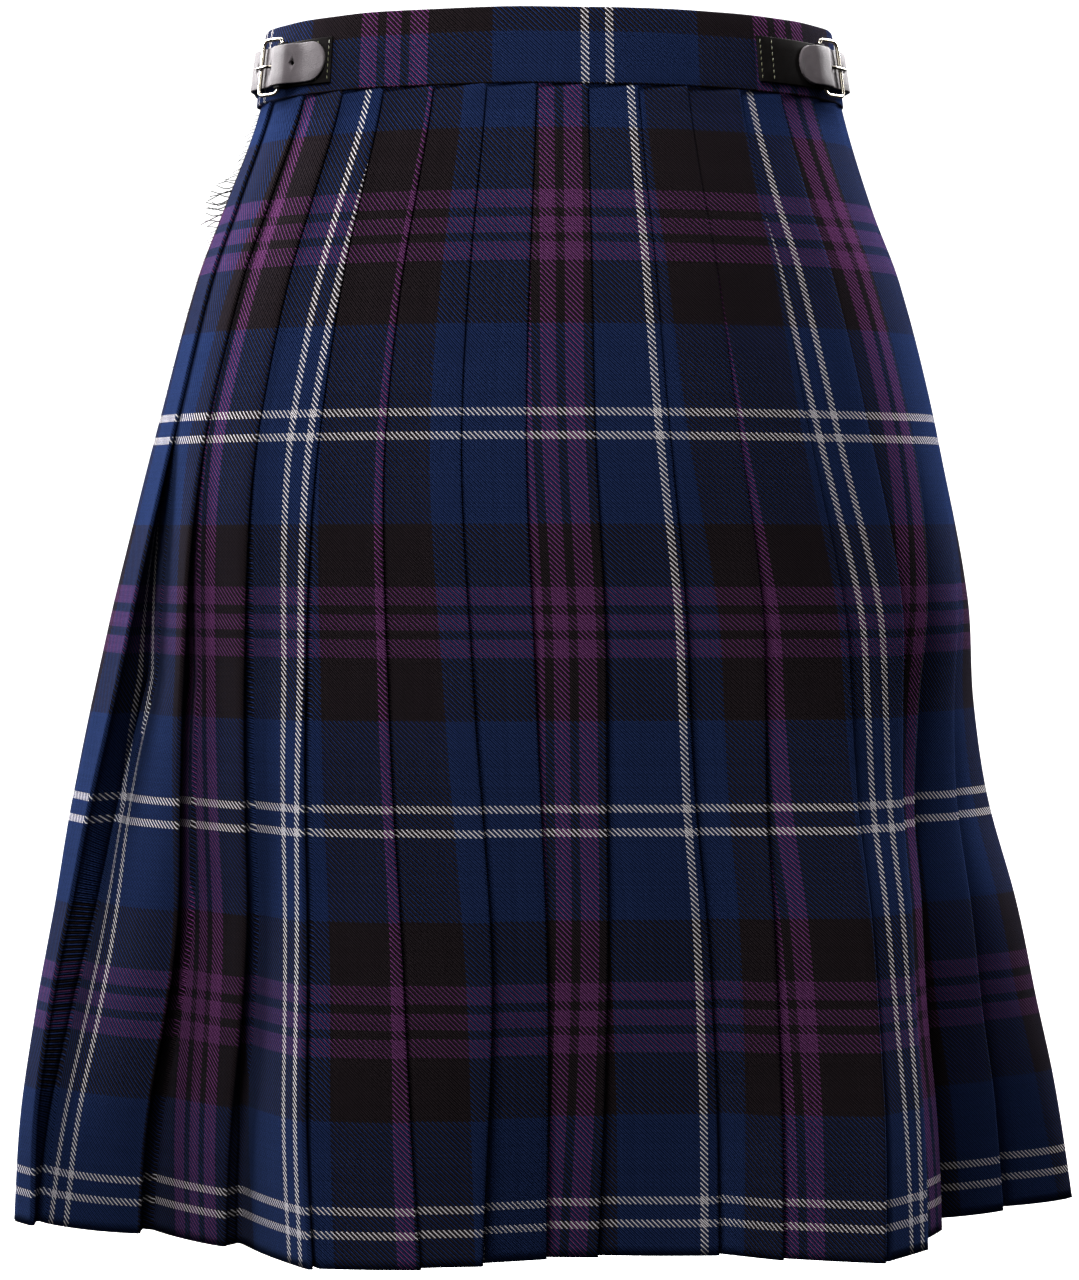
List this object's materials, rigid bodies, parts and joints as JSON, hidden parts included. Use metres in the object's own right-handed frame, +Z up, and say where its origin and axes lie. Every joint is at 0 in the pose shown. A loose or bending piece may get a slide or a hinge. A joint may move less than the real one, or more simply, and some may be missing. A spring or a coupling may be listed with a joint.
{
  "type": "kilt",
  "caption": "Knee-length wrap kilt in checked wool, in its worn shape and empty: knife-pleated back, flat front aprons, waistband, leather side straps and buckles.",
  "frame": {"origin": "centre of the waist opening, level with the top edge of the waistband at the sides", "axes": "+Z up; the pleated back faces -Y and the flat front faces +Y; +X is the wearer's right"},
  "size_m": [0.5522, 0.3239, 0.6152],
  "materials": {
    "wool_tartan": "matte twill wool, blue and black check with purple and white lines",
    "black_leather": "smooth, lightly creased",
    "polished_steel": "polished plate"
  },
  "bodies": {
    "root": {"pleated_back": "wool_tartan", "outer_apron": "wool_tartan", "inner_apron": "wool_tartan", "waistband": "wool_tartan", "apron_fringe": "wool_tartan", "tab_left": "black_leather", "tab_right": "black_leather", "strap_left": "black_leather", "strap_right": "black_leather", "buckle_left": "polished_steel", "buckle_right": "polished_steel", "prong_left": "polished_steel", "prong_right": "polished_steel"}
  },
  "joints": []
}
